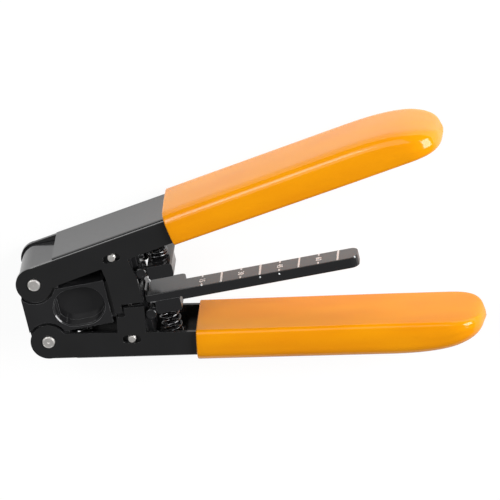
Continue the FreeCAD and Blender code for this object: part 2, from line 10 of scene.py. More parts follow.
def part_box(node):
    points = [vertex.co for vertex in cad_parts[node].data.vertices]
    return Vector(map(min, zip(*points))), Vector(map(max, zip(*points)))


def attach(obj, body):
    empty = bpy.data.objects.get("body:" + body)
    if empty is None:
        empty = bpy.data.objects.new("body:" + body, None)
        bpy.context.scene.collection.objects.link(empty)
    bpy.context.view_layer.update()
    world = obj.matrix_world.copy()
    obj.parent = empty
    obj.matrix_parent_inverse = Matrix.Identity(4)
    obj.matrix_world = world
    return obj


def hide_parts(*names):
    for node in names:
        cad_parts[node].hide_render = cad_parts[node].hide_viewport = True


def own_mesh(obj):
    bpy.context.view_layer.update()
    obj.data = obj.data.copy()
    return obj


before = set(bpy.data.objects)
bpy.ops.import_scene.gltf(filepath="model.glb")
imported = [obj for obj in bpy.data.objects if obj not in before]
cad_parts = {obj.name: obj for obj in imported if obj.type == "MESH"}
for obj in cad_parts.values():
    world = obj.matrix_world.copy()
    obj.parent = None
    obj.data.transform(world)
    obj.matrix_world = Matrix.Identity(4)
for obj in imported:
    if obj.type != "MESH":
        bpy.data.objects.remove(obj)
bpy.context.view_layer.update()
scene = bpy.context.scene


# Head. A zinc die casting that carries both lever pivots and guides the cable to the blades.
# It is stove painted glossy black, and the mould leaves its edges soft. The levers are riveted
# on at its two cheeks.
MM = 0.001
pivot_low, pivot_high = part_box("upper_pivot_pin")
TOOL_MIDDLE = Vector(((pivot_low.x + pivot_high.x) / 2, 0, (pivot_low.z + pivot_high.z) / 2))
MERGE_GAP = 0.002  # mm between points of a node that are one
FLAT_ANGLE = 0.5  # degrees between facets of one flat
SHORTEST_BEND = 12.0  # mm, so that slots and tabs keep their small edges
FACING = 0.95  # how squarely a face looks along a direction
BEND_STEPS = 7
stand_ins = [bpy.data.materials.new(name) for name in ("face", "edge")]


def at(x, y, z):
    """A point of the tool in metres, given in mm from the line through both pivots."""
    return TOOL_MIDDLE + Vector((x, y, z)) * MM


def new_piece(name, mesh):
    """Put a mesh in the scene as a named piece."""
    piece = bpy.data.objects.new(name, mesh)
    scene.collection.objects.link(piece)
    return piece


def settle(piece):
    """Apply a piece's modifiers to its mesh."""
    graph = bpy.context.evaluated_depsgraph_get()
    piece.data = bpy.data.meshes.new_from_object(piece.evaluated_get(graph))
    piece.modifiers.clear()
    return piece


def is_bend(edge, bend):
    """Whether a long edge joins a face that looks along bend to one that looks along Z."""
    sides = [face.normal for face in edge.link_faces]
    if len(sides) != 2 or not edge.is_convex or edge.calc_length() <= SHORTEST_BEND * MM:
        return False
    web, flange = max(side.dot(bend) for side in sides), max(abs(side.z) for side in sides)
    return web > FACING and flange > FACING


def rounding(piece, name, radius, steps, limit):
    """Add a bevel of radius mm, its strips marked with the second stand-in."""
    bevel = piece.modifiers.new(name, "BEVEL")
    bevel.width = radius * MM
    bevel.segments = steps
    bevel.limit_method = limit
    bevel.material = 1
    return bevel


def softened(node, name, radius, steps=3, sharp=32, bend=None, bend_radius=0.0):
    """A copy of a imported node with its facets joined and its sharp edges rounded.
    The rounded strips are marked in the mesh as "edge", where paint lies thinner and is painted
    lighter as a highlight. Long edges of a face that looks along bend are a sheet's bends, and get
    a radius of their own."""
    form = bmesh.new()
    form.from_mesh(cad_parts[node].data)
    bmesh.ops.remove_doubles(form, verts=form.verts, dist=MERGE_GAP * MM)
    bmesh.ops.dissolve_limit(
        form, angle_limit=math.radians(FLAT_ANGLE), verts=form.verts, edges=form.edges
    )
    bent = form.edges.layers.float.new("bevel_weight_edge")
    for edge in form.edges:
        if bend and is_bend(edge, bend):
            edge[bent] = 1.0
    mesh = bpy.data.meshes.new(name)
    form.to_mesh(mesh)
    form.free()
    mesh.materials.clear()
    for stand_in in stand_ins:
        mesh.materials.append(stand_in)
    for face in mesh.polygons:
        face.use_smooth = True
        face.material_index = 0
    piece = new_piece(name, mesh)
    if bend:
        curl = rounding(piece, "Bend", bend_radius, BEND_STEPS, "WEIGHT")
        curl.use_clamp_overlap = False
    bevel = rounding(piece, "Soft edges", radius, steps, "ANGLE")
    bevel.angle_limit = math.radians(sharp)
    bevel.miter_outer = "MITER_ARC"
    settle(piece)
    keep_flats(piece.data)
    edge = piece.data.attributes.new("edge", "FLOAT", "CORNER")
    for face in piece.data.polygons:
        for corner in face.loop_indices:
            edge.data[corner].value = face.material_index
        face.material_index = 0
    return piece


def keep_flats(mesh):
    """Shade the flats flat and let only the rounded edges between them turn the light."""
    touching = [[] for _ in mesh.vertices]
    for face in mesh.polygons:
        for corner in face.vertices:
            touching[corner].append(face)
    near, wide = math.cos(math.radians(20)), math.cos(math.radians(55))
    normals = []
    for face in mesh.polygons:
        limit = wide if face.material_index else near
        for corner in face.vertices:
            around = touching[corner]
            flats = [f for f in around if not f.material_index]
            alike = [f for f in flats if f.normal.dot(face.normal) > limit]
            if not alike:
                alike = [f for f in around if f.normal.dot(face.normal) > wide]
            total = Vector()
            for other in alike:
                total += other.normal * other.area
            normals.append(total.normalized() if total.length else face.normal.copy())
    mesh.normals_split_custom_set(normals)


def fit(piece, material, body, slot, *nodes):
    """Finish a piece: its material, the body it rides on, its slot (not used), what it stands for.
    """
    piece.data.materials.clear()
    piece.data.materials.append(material)
    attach(piece, body)
    if nodes:
        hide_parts(*nodes)
    return piece


def effect(name, inputs, outputs):
    """A shader node group with named inputs and outputs: (tree, its inputs, its outputs)."""
    tree = bpy.data.node_groups.new(name, "ShaderNodeTree")
    for label, value in inputs.items():
        kind = "NodeSocketColor" if isinstance(value, tuple) else "NodeSocketFloat"
        tree.interface.new_socket(label, in_out="INPUT", socket_type=kind).default_value = value
    for label, kind in outputs.items():
        tree.interface.new_socket(label, in_out="OUTPUT", socket_type="NodeSocket" + kind)
    given = tree.nodes.new("NodeGroupInput").outputs
    result = tree.nodes.new("NodeGroupOutput").inputs
    return tree, given, result


def put(tree, kind, feeds=None, **settings):
    """Add a node: settings are its properties, feeds its inputs as values or sockets."""
    node = tree.nodes.new(kind)
    for name, value in settings.items():
        setattr(node, name, value)
    for socket, value in (feeds or {}).items():
        if isinstance(value, bpy.types.NodeSocket):
            tree.links.new(value, node.inputs[socket])
        else:
            node.inputs[socket].default_value = value
    return node


def maths(tree, operation, a, b=0.0):
    """Two values joined by a sum, product or power."""
    return put(tree, "ShaderNodeMath", {0: a, 1: b}, operation=operation).outputs[0]


def times(tree, a, b):
    """Two vectors multiplied axis by axis."""
    return put(tree, "ShaderNodeVectorMath", {0: a, 1: b}, operation="MULTIPLY").outputs[0]


def blended(tree, factor, a, b):
    """Two colours mixed by a value that changes over the surface."""
    return put(tree, "ShaderNodeMix", {0: factor, 6: a, 7: b}, data_type="RGBA").outputs[2]


def spread(tree, value, low, high, to_low, to_high):
    """A value stretched from one range to another and held inside it."""
    feeds = {0: value, 1: low, 2: high, 3: to_low, 4: to_high}
    return put(tree, "ShaderNodeMapRange", feeds).outputs[0]


def grain(tree, place, size, detail=2.0, roughness=0.5):
    """Soft random grain, its features about size mm across (or a socket, per metre)."""
    scale = size if isinstance(size, bpy.types.NodeSocket) else 1 / (size * MM)
    feeds = {"Vector": place, "Scale": scale, "Detail": detail, "Roughness": roughness}
    return put(tree, "ShaderNodeTexNoise", feeds).outputs[0]


def coated(name, group, looks, height):
    """A material and its shader, its colour, roughness and relief of height mm from an effect."""
    material = bpy.data.materials.new(name)
    material.use_nodes = True
    tree = material.node_tree
    shader = tree.nodes["Principled BSDF"]
    coat = put(tree, "ShaderNodeGroup", looks, node_tree=group)
    relief = {"Strength": 1.0, "Distance": height * MM, "Height": coat.outputs["Height"]}
    bump = put(tree, "ShaderNodeBump", relief)
    tree.links.new(bump.outputs["Normal"], shader.inputs["Normal"])
    tree.links.new(coat.outputs["Color"], shader.inputs["Base Color"])
    tree.links.new(coat.outputs["Roughness"], shader.inputs["Roughness"])
    return material, shader


# Stove paint: orange peel, a faint drift of tone, thin paint on edges lightened into a painted
# highlight, and a few nibs of dust.
paint_coat, given, result = effect(
    "Stove paint",
    {
        "Paint": (0.01, 0.01, 0.011, 1.0),
        "Thin paint and highlight": (0.04, 0.04, 0.042, 1.0),
        "Peel per m": 900.0,
        "Smooth": 0.12,
        "Dull": 0.25,
    },
    {"Color": "Color", "Roughness": "Float", "Height": "Float"},
)
place = put(paint_coat, "ShaderNodeTexCoord").outputs["Object"]
drift = grain(paint_coat, place, 14.0, 3.0)
peel = grain(paint_coat, place, given["Peel per m"], 1.5)
nibs = grain(paint_coat, place, 0.35, 0.0)
edge = put(paint_coat, "ShaderNodeAttribute", attribute_name="edge").outputs["Fac"]
# The edges are mixed toward the thin paint colour: partly thinner paint, partly a painted highlight
# that lights every edge alike.
thin_and_highlight = maths(paint_coat, "MULTIPLY", edge, spread(paint_coat, drift, 0.35, 0.7, 0.15, 0.8))
tone = maths(paint_coat, "ADD", thin_and_highlight, spread(paint_coat, drift, 0.3, 0.75, 0.0, 0.02))
colour = blended(paint_coat, tone, given["Paint"], given["Thin paint and highlight"])
paint_coat.links.new(colour, result["Color"])
dullness = spread(paint_coat, drift, 0.25, 0.75, given["Smooth"], given["Dull"])
dull_edge = maths(paint_coat, "MULTIPLY", edge, 0.04)
paint_coat.links.new(maths(paint_coat, "ADD", dullness, dull_edge), result["Roughness"])
raised = maths(paint_coat, "ADD", peel, spread(paint_coat, nibs, 0.77, 0.83, 0.0, 0.8))
paint_coat.links.new(raised, result["Height"])


def painted(name, paint, thin_paint_and_highlight, peel, smooth, dull, height, ior=1.72):
    """A stove painted finish, the size of its orange peel and its relief in mm."""
    looks = {
        "Paint": (*paint, 1.0),
        "Thin paint and highlight": (*thin_paint_and_highlight, 1.0),
        "Peel per m": 1 / (peel * MM),
        "Smooth": smooth,
        "Dull": dull,
    }
    material, shader = coated(name, paint_coat, looks, height)
    shader.inputs["IOR"].default_value = ior
    return material


# Its thin paint colour is light grey, so the casting's rounded edges carry a painted highlight.
casting_black = painted(
    "Casting black",
    paint=(0.013, 0.013, 0.014),
    thin_paint_and_highlight=(0.26, 0.26, 0.265),
    peel=0.9,
    smooth=0.09,
    dull=0.17,
    height=0.009,
)
head = softened("head_frame", "head_casting", radius=0.5, steps=4)
fit(head, casting_black, "head", "black_casting", "head_frame")


# Guide posts. Two ground steel posts, pressed in the casting's crosshead, that both blade
# holders slide on. They are bare metal with a light film of oil.
metal_skin, given, result = effect(
    "Worked metal",
    {
        "Bright": (0.70, 0.68, 0.65, 1.0),
        "Dull": (0.48, 0.46, 0.44, 1.0),
        "Along X": 1.0,
        "Along Y": 1.0,
        "Along Z": 1.0,
        "Lines per m": 4000.0,
        "Smooth": 0.25,
        "Rough": 0.45,
    },
    {"Color": "Color", "Roughness": "Float", "Height": "Float"},
)
place = put(metal_skin, "ShaderNodeTexCoord").outputs["Object"]
shares = {0: given["Along X"], 1: given["Along Y"], 2: given["Along Z"]}
stretch = put(metal_skin, "ShaderNodeCombineXYZ", shares).outputs[0]
drawn = times(metal_skin, place, stretch)
lines = grain(metal_skin, drawn, given["Lines per m"], 3.0, 0.65)
stain = grain(metal_skin, place, 2.4, 3.0)
tarnish = spread(metal_skin, stain, 0.4, 0.75, 0.0, 0.7)
scored = spread(metal_skin, lines, 0.3, 0.7, 0.0, 0.5)
shade = maths(metal_skin, "MAXIMUM", tarnish, scored)
colour = blended(metal_skin, shade, given["Bright"], given["Dull"])
metal_skin.links.new(colour, result["Color"])
worn = spread(metal_skin, shade, 0.0, 0.7, given["Smooth"], given["Rough"])
metal_skin.links.new(worn, result["Roughness"])
metal_skin.links.new(lines, result["Height"])


def steel(name, bright, dull, smooth, rough, stretch=(1.0, 1.0, 1.0), line=0.25, height=0.003):
    """A bare metal finish, its marks line mm apart and drawn out where stretch is small."""
    looks = {
        "Bright": (*bright, 1.0),
        "Dull": (*dull, 1.0),
        "Along X": stretch[0],
        "Along Y": stretch[1],
        "Along Z": stretch[2],
        "Lines per m": 1 / (line * MM),
        "Smooth": smooth,
        "Rough": rough,
    }
    material, shader = coated(name, metal_skin, looks, height)
    shader.inputs["Metallic"].default_value = 1.0
    return material


post_steel = steel(
    "Post steel",
    bright=(0.2, 0.197, 0.193),
    dull=(0.12, 0.117, 0.114),
    smooth=0.16,
    rough=0.3,
    stretch=(1, 0.1, 1),
)
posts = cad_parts["guide_posts"]
posts.data.materials.clear()
posts.data.materials.append(post_steel)


# Levers. Two channels pressed from 1.6 mm steel sheet: a web outside and two flanges with
# round cheeks, pin slots and the tabs that stop them. They are painted after pressing, so the
# paint is thinner on the bends and the sheared edges, and these are also lightened as a
# painted highlight.
LEVER_ANGLE = math.radians(9.55)
PIVOT_Y = pivot_low.y / MM + (pivot_high.y - pivot_low.y) / (2 * MM)
lever_black = painted(
    "Lever black",
    paint=(0.012, 0.012, 0.0125),
    thin_paint_and_highlight=(0.13, 0.13, 0.133),
    peel=1.3,
    smooth=0.09,
    dull=0.16,
    height=0.007,
)
for side, way in (("upper", 1), ("lower", -1)):
    outward = Vector((-math.sin(LEVER_ANGLE), way * math.cos(LEVER_ANGLE), 0))
    lever = softened(
        side + "_lever", side + "_channel", radius=0.4, steps=5, bend=outward, bend_radius=1.5
    )
    fit(lever, lever_black, side + "_lever", "black_paint", side + "_lever")


# Rivets and drive pins. Turned steel: each rivet is pressed through the head and a lever, its
# end faced off with a fine ring and a small centre mark, and each drive pin is held in a blade
# holder and slides in a lever's slot. Their ends are rubbed bright after painting.
def bridge(form, rings):
    """Join rings of points one after the other. A ring of one point closes the form."""
    for above, below in zip(rings, rings[1:]):
        around = max(len(above), len(below))
        for step in range(around):
            after = (step + 1) % around
            if len(above) == 1:
                form.faces.new((above[0], below[step], below[after]))
            elif len(below) == 1:
                form.faces.new((above[step], below[0], above[after]))
            else:
                form.faces.new((above[step], below[step], below[after], above[after]))


def mesh_from(form, name, sharp=None):
    """A mesh from a form, shaded smooth over edges that turn by less than sharp degrees."""
    bmesh.ops.recalc_face_normals(form, faces=form.faces)
    mesh = bpy.data.meshes.new(name)
    form.to_mesh(mesh)
    form.free()
    if sharp:
        mesh.shade_smooth()
        mesh.set_sharp_from_angle(angle=math.radians(sharp))
    return mesh


def turned(name, x, y, end, steps, around=48):
    """A turned piece along Z, its ends alike and end mm from the middle. Each step gives a
    radius and a depth below the end."""
    profile = [(radius, end - depth) for radius, depth in steps]
    whole = profile + [(radius, -height) for radius, height in reversed(profile)]
    form = bmesh.new()
    rings = []
    for radius, height in whole:
        if radius == 0:
            rings.append([form.verts.new(at(x, y, height))])
            continue
        ring = []
        for step in range(around):
            turn = 2 * math.pi * step / around
            spot = at(x + radius * math.cos(turn), y + radius * math.sin(turn), height)
            ring.append(form.verts.new(spot))
        rings.append(ring)
    bridge(form, rings)
    return new_piece(name, mesh_from(form, name, sharp=35))


CENTRE_MARK = ((0, 0.1), (0.24, 0.08), (0.32, 0.005))
FACED_RING = ((1.92, 0.0), (1.98, 0.05), (2.04, 0.004))
RIVET_RIM = ((2.22, 0.02), (2.32, 0.09), (2.36, 0.24), (2.36, 0.9), (2.5, 1.0))
PIN_END = ((0, 0.0), (1.0, 0.005), (1.26, 0.03), (1.36, 0.12), (1.38, 0.3), (1.38, 0.9), (1.5, 1.0))
pin_bright = steel(
    "Pin steel",
    bright=(0.96, 0.94, 0.91),
    dull=(0.80, 0.77, 0.73),
    smooth=0.46,
    rough=0.6,
    line=0.18,
    height=0.006,
)
drive_low, drive_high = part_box("upper_drive_pin")
DRIVE_X = ((drive_low.x + drive_high.x) / 2 - TOOL_MIDDLE.x) / MM
DRIVE_Y = (drive_low.y + drive_high.y) / 2 / MM
rivet_half = (pivot_high.z - pivot_low.z) / 2 / MM
drive_half = (drive_high.z - drive_low.z) / 2 / MM
for side, way in (("upper", 1), ("lower", -1)):
    rivet_steps = CENTRE_MARK + FACED_RING + RIVET_RIM
    rivet = turned(side + "_rivet", 0, way * PIVOT_Y, rivet_half, rivet_steps)
    fit(rivet, pin_bright, "head", "pin_steel", side + "_pivot_pin")
    pin = turned(side + "_slot_pin", DRIVE_X, way * DRIVE_Y, drive_half, PIN_END)
    fit(pin, pin_bright, side + "_jaw", "pin_steel", side + "_drive_pin")


# Springs. Oil blackened music wire: a pair between the head and the levers' webs opens the
# handles, and a stiffer pair behind the clamp pads presses them on the cable. Their end turns
# are wound closed and ground flat.
CLOSED_TURNS = 1.0  # at each end
CLOSED_PITCH = 0.36  # of the pitch in between


def coil(name, x, low, high, way, radius, wire, turns):
    """A round wire spring along Y between two heights in mm, its end turns closed."""
    form = bmesh.new()
    per_turn, around = 26, 10
    steps = int(turns * per_turn)
    climb = high - low - 2 * wire
    weights = []
    for step in range(steps):
        done = (step + 0.5) / per_turn
        end = min(done, turns - done)
        weights.append(CLOSED_PITCH if end < CLOSED_TURNS else 1.0)
    unit = climb / sum(weights)
    height = low + wire
    rings = []
    for step in range(steps + 1):
        turn = 2 * math.pi * step / per_turn
        ring = []
        for k in range(around):
            angle = 2 * math.pi * k / around
            out = radius + wire * math.cos(angle)
            y = height + wire * math.sin(angle)
            spot = at(x + out * math.cos(turn), way * y, out * math.sin(turn))
            ring.append(form.verts.new(spot))
        rings.append(ring)
        if step < steps:
            height += unit * weights[step]
    bridge(form, rings)
    form.faces.new(rings[0])
    form.faces.new(rings[-1])
    return new_piece(name, mesh_from(form, name, sharp=60))


def span(node, way):
    """A node's middle along X, and its nearest and furthest heights from the cable, in mm."""
    low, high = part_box(node)
    heights = sorted((way * low.y / MM, way * high.y / MM))
    return ((low.x + high.x) / 2 - TOOL_MIDDLE.x) / MM, heights[0], heights[1]


spring_black = steel(
    "Spring wire",
    bright=(0.17, 0.17, 0.175),
    dull=(0.07, 0.07, 0.072),
    smooth=0.14,
    rough=0.26,
    line=0.4,
    height=0.004,
)
OPENING = {"radius": 2.4, "wire": 0.4, "turns": 6.5}
CLAMP = {"radius": 3.7, "wire": 0.55, "turns": 6.2}
for side, way in (("upper", 1), ("lower", -1)):
    x, low, high = span(side + "_return_spring", way)
    spring = coil(side + "_opening_spring", x, low, high, way, **OPENING)
    fit(spring, spring_black, "head", "spring_steel", side + "_return_spring")
    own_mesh(spring)
    x, low, high = span(side + "_pad_spring", way)
    spring = coil(side + "_clamp_spring", x, low, high, way, **CLAMP)
    fit(spring, spring_black, side + "_pad", "spring_steel", side + "_pad_spring")
    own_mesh(spring)


# Spring pegs. Short steel studs, spot welded inside the levers' webs, that keep the clamp
# springs in place. They are dipped and painted with the levers, and slim enough for a spring
# to lean over with its pad.
STUD_SHARE = 0.58
for side in ("upper", "lower"):
    peg = softened(side + "_spring_peg", side + "_stud", radius=0.3, steps=2)
    low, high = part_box(side + "_spring_peg")
    middle = (low + high) / 2
    for vertex in peg.data.vertices:
        vertex.co.x = middle.x + (vertex.co.x - middle.x) * STUD_SHARE
        vertex.co.z = middle.z + (vertex.co.z - middle.z) * STUD_SHARE
    fit(peg, lever_black, side + "_lever", "pin_steel", side + "_spring_peg")


# Blade holders. Machined steel blocks, chemically blackened, that slide on the guide posts
# and are pushed together by the drive pins. Their forks carry the clamp pads.
holder_black = painted(
    "Holder black",
    paint=(0.012, 0.012, 0.013),
    thin_paint_and_highlight=(0.07, 0.07, 0.072),
    peel=0.5,
    smooth=0.26,
    dull=0.42,
    height=0.004,
    ior=1.6,
)
for side in ("upper", "lower"):
    holder = softened(side + "_blade_holder", side + "_holder_block", radius=0.22, steps=2)
    fit(holder, holder_black, side + "_jaw", "black_fitting", side + "_blade_holder")


# Blades. Hardened steel strips, surface ground across and bevelled on one side to a straight
# edge. Two slotted pan head screws hold each to its holder.
SCREW_RADIUS, SCREW_HEIGHT = 1.8, 1.1
PAN_HEAD = ((1.0, 0.0), (1.0, 0.55), (0.93, 0.8), (0.8, 0.95), (0.62, 1.0))
SLOT_HALF = 0.24
SLOT_DEPTH = SCREW_HEIGHT * 0.55


def slotted_screw(name, centre, out, around=32):
    """A pan head screw: its seat at centre in mm, its head facing out, its slot cut across."""
    out = Vector(out)
    across = out.orthogonal().normalized()
    up = out.cross(across)
    form = bmesh.new()

    def spot(a, b, height):
        return form.verts.new(at(*centre) + (across * a + up * b + out * height) * MM)

    turns = [2 * math.pi * step / around for step in range(around)]
    rings = []
    for share, height in PAN_HEAD:
        radius = SCREW_RADIUS * share
        rings.append(
            [spot(radius * math.cos(t), radius * math.sin(t), SCREW_HEIGHT * height) for t in turns]
        )
    bridge(form, rings)
    form.faces.new(rings[0])
    reach = math.sqrt(radius ** 2 - SLOT_HALF ** 2)
    walls = []
    for way in (1, -1):
        land = [v for v, turn in zip(rings[-1], turns) if way * math.sin(turn) * radius > SLOT_HALF]
        wall = [(reach * end, way * SLOT_HALF) for end in (way, -way)]
        rim = [spot(*end, SCREW_HEIGHT) for end in wall]
        floor = [spot(*end, SCREW_HEIGHT - SLOT_DEPTH) for end in wall]
        form.faces.new([rim[0]] + land + [rim[1]])
        form.faces.new((rim[0], rim[1], floor[1], floor[0]))
        walls.append((rim, floor))
    (rim, floor), (far_rim, far_floor) = walls
    form.faces.new((floor[0], floor[1], far_floor[0], far_floor[1]))
    form.faces.new((floor[0], rim[0], far_rim[1], far_floor[1]))
    form.faces.new((floor[1], rim[1], far_rim[0], far_floor[0]))
    return new_piece(name, mesh_from(form, name, sharp=30))


blade_steel = steel(
    "Blade steel",
    bright=(0.2, 0.203, 0.207),
    dull=(0.11, 0.11, 0.113),
    smooth=0.16,
    rough=0.3,
    stretch=(1, 1, 0.06),
    line=0.12,
    height=0.002,
)
screw_steel = steel(
    "Screw steel",
    bright=(0.30, 0.30, 0.31),
    dull=(0.16, 0.16, 0.165),
    smooth=0.26,
    rough=0.42,
    line=0.3,
)
BLADE_FACE_X = (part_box("upper_blade")[1].x - TOOL_MIDDLE.x) / MM
SCREW_HEIGHTS = (6.4, 11.2)
for side, way in (("upper", 1), ("lower", -1)):
    cutter = softened(side + "_blade", side + "_cutter", radius=0.06, steps=1, sharp=50)
    fit(cutter, blade_steel, side + "_jaw", "blade_steel", side + "_blade")
    for number, height in enumerate(SCREW_HEIGHTS, 1):
        screw = slotted_screw(
            f"{side}_blade_screw_{number}", (BLADE_FACE_X, way * height, 0), (1, 0, 0)
        )
        fit(screw, screw_steel, side + "_jaw", "pin_steel")


# Clamp pads. Painted steel blocks, each on two shoulder pins in its holder's fork, that hold
# the jacket still while it is cut. A coil spring behind each lets it give with the cable.
SHOULDER_END = (
    (0, 0.12),
    (1.2, 0.1),
    (1.34, 0.02),
    (1.45, 0.0),
    (1.9, 0.03),
    (2.1, 0.14),
    (2.2, 0.34),
    (2.2, 1.6),
    (1.2, 1.6),
)
pad_black = painted(
    "Pad black",
    paint=(0.013, 0.013, 0.014),
    thin_paint_and_highlight=(0.09, 0.09, 0.092),
    peel=0.8,
    smooth=0.10,
    dull=0.18,
    height=0.006,
)
for side in ("upper", "lower"):
    pad = softened(side + "_pad", side + "_clamp_pad", radius=0.22)
    fit(pad, pad_black, side + "_pad", "black_fitting", side + "_pad")
    low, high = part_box(side + "_pad_pins")
    pin_x = ((low.x + high.x) / 2 - TOOL_MIDDLE.x) / MM
    pin_y = (low.y + high.y) / 2 / MM
    end = (high.z - low.z) / 2 / MM
    shoulder = turned(side + "_shoulder_pins", pin_x, pin_y, end, SHOULDER_END)
    cut = bmesh.new()
    cut.from_mesh(shoulder.data)
    shank = [f for f in cut.faces if abs(f.calc_center_median().z - TOOL_MIDDLE.z) < 1 * MM]
    bmesh.ops.delete(cut, geom=shank, context="FACES")
    cut.to_mesh(shoulder.data)
    cut.free()
    fit(shoulder, pad_black, side + "_jaw", "black_fitting", side + "_pad_pins")


# Measuring bar. A black painted steel bar with a foot plate, screwed to the lower pad from
# below. Its top is screen printed in white: a line every second mark and a number between
# them, and the ink has run over the near edge in a few places.
bar_black = painted(
    "Bar black",
    paint=(0.014, 0.014, 0.015),
    thin_paint_and_highlight=(0.03, 0.03, 0.031),
    peel=0.7,
    smooth=0.11,
    dull=0.20,
    height=0.006,
    ior=1.75,
)
bar = softened("measuring_bar", "scale_bar", radius=0.25)
fit(bar, bar_black, "lower_pad", "bar_black", "measuring_bar")

BAR_SCREW_SEAT, BAR_SCREW_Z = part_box("lower_pad")[0].y / MM + 3.0, 6.4
for number, x in enumerate((44.6, 50.0), 1):
    screw = slotted_screw(f"bar_screw_{number}", (x, BAR_SCREW_SEAT, BAR_SCREW_Z), (0, -1, 0))
    fit(screw, screw_steel, "lower_pad", "pin_steel")

bar_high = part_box("measuring_bar")[1]
BAR_TOP = -1.85
BAR_NEAR = (bar_high.z - TOOL_MIDDLE.z) / MM
BAR_FAR = BAR_NEAR - 9.4
BAR_END = bar_high.x / MM - TOOL_MIDDLE.x / MM
PRINT_PROUD = 0.02
FIRST_MARK = 61.65
MARK_STEP = 7.52
LINE_WIDTH, FAR_TICK_WIDTH, NEAR_TICK_WIDTH = 0.75, 0.6, 0.65
DIGIT_HEIGHT, DIGIT_WEIGHT = 3.1, 0.075
ink = bpy.data.materials.new("Scale ink")
ink.use_nodes = True
tree = ink.node_tree
shader = tree.nodes["Principled BSDF"]
place = put(tree, "ShaderNodeTexCoord").outputs["Object"]
starved = spread(tree, grain(tree, place, 0.5, 3.0), 0.3, 0.7, 0.0, 1.0)
patch = blended(tree, starved, (0.93, 0.98, 1.0, 1.0), (0.80, 0.85, 0.87, 1.0))
tree.links.new(patch, shader.inputs["Base Color"])
tree.links.new(spread(tree, starved, 0.0, 1.0, 0.4, 0.6), shader.inputs["Roughness"])


def printed_line(form, x, z0, z1, width):
    """A thin flat of ink across the bar's top, in mm."""
    half = width / 2
    outline = [(x - half, z0), (x - half, z1), (x + half, z1), (x + half, z0)]
    top = [form.verts.new(at(x, BAR_TOP + PRINT_PROUD, z)) for x, z in outline]
    base = [form.verts.new(at(x, BAR_TOP - PRINT_PROUD, z)) for x, z in outline]
    form.faces.new(top)
    for i in range(4):
        j = (i + 1) % 4
        form.faces.new((top[i], base[i], base[j], top[j]))


LINE_MARGIN, TICK_MARGIN, FAR_TICK, NEAR_TICK = 0.35, 0.3, 1.7, 1.9
lines = bmesh.new()
for mark in range(8):
    x = FIRST_MARK + MARK_STEP * mark
    if mark % 2:
        printed_line(lines, x, BAR_FAR + LINE_MARGIN, BAR_NEAR - TICK_MARGIN, LINE_WIDTH)
    else:
        printed_line(lines, x, BAR_FAR + TICK_MARGIN, BAR_FAR + FAR_TICK, FAR_TICK_WIDTH)
        printed_line(lines, x, BAR_NEAR - NEAR_TICK, BAR_NEAR - TICK_MARGIN, NEAR_TICK_WIDTH)
fit(new_piece("scale_lines", mesh_from(lines, "scale_lines")), ink, "lower_pad", "bar_black")

lying_across = Matrix(((0, 1, 0), (0, 0, 1), (1, 0, 0))).to_4x4()
for count, label in enumerate(("15", "30", "45", "60")):
    words = bpy.data.curves.new("number_" + label, "FONT")
    words.body = label
    words.size = DIGIT_HEIGHT * MM
    words.align_x = "CENTER"
    words.align_y = "CENTER"
    words.extrude = PRINT_PROUD * MM
    words.offset = DIGIT_WEIGHT * MM
    written = new_piece("number_" + label, words)
    digits = bpy.data.meshes.new_from_object(written)
    bpy.data.objects.remove(written)
    spot = at(FIRST_MARK + MARK_STEP * 2 * count, BAR_TOP, (BAR_NEAR + BAR_FAR) / 2)
    digits.transform(Matrix.Translation(spot) @ lying_across)
    fit(new_piece("number_" + label, digits), ink, "lower_pad", "bar_black")

INK_RUNS = (
    (FIRST_MARK, BAR_TOP - 0.12, BAR_NEAR - 0.1, 0.34),
    (FIRST_MARK + MARK_STEP * 3, BAR_TOP - 1.0, BAR_NEAR - 0.02, 0.36),
    (FIRST_MARK + MARK_STEP * 4 - 0.1, BAR_TOP - 1.1, BAR_NEAR - 0.02, 0.34),
    (BAR_END - 1.1, BAR_TOP - 0.25, BAR_NEAR - 0.75, 0.42),
)
drops = bmesh.new()
for x, y, z, size in INK_RUNS:
    drop = bmesh.ops.create_icosphere(drops, subdivisions=2, radius=size * MM)
    bmesh.ops.scale(drops, vec=(1.0, 1.2, 0.2), verts=drop["verts"])
    bmesh.ops.translate(drops, vec=at(x, y, z), verts=drop["verts"])
runs = new_piece("ink_drops", mesh_from(drops, "ink_drops", sharp=180))
fit(runs, ink, "lower_pad", "bar_black")


# Grips. The handles are dipped twice in liquid vinyl and cured, so each sleeve is one skin with
# soft corners, fuller outside than inside, a rolled lip at its mouth and a small drip at its
# end. The skin has long shallow sags from dipping under a fine orange peel.
GRIP_START, GRIP_END = 56.2, 165.0
END_PAST = 0.02  # mm beyond the last ring at which its size would be nothing
FALLS = {"outer": (127.8, 2.7, 0.587), "side": (150.2, 3.0, 0.394), "inner": (157.6, 3.15, 0.25)}
HALF_WIDTH = 15.4
FRONT_OUT, BACK_OUT, FRONT_IN, BACK_IN = 9.9, 10.15, 3.8, 4.2
OUTER_CORNER, INNER_CORNER = 5.2, 1.9
CORNER_GROWTH = 1.37  # how fast the corners become round where the end falls away
CROWN = 0.25
LIP = 0.55
DRIP_HEIGHT, DRIP_SPREAD = 0.8, 2.7
MOUTH_IN, MOUTH_OUT, MOUTH_HALF, MOUTH_CORNER, MOUTH_DEPTH = -2.6, 6.7, 12.3, 0.3, 4.0
CORNER_STEPS, SIDE_STEPS = 9, 8
END_RINGS, BODY_RINGS, LIP_RINGS = 44, 16, 6
LAST_TURN = 89.3  # degrees round the end at its smallest ring


def fullness(along, form):
    """How much of the full size is left at a place along the grip's rounded end."""
    start, power, root = FALLS[form]
    share = max(0.0, along - start) / (GRIP_END + END_PAST - start)
    return max(0.0, 1 - share ** power) ** root


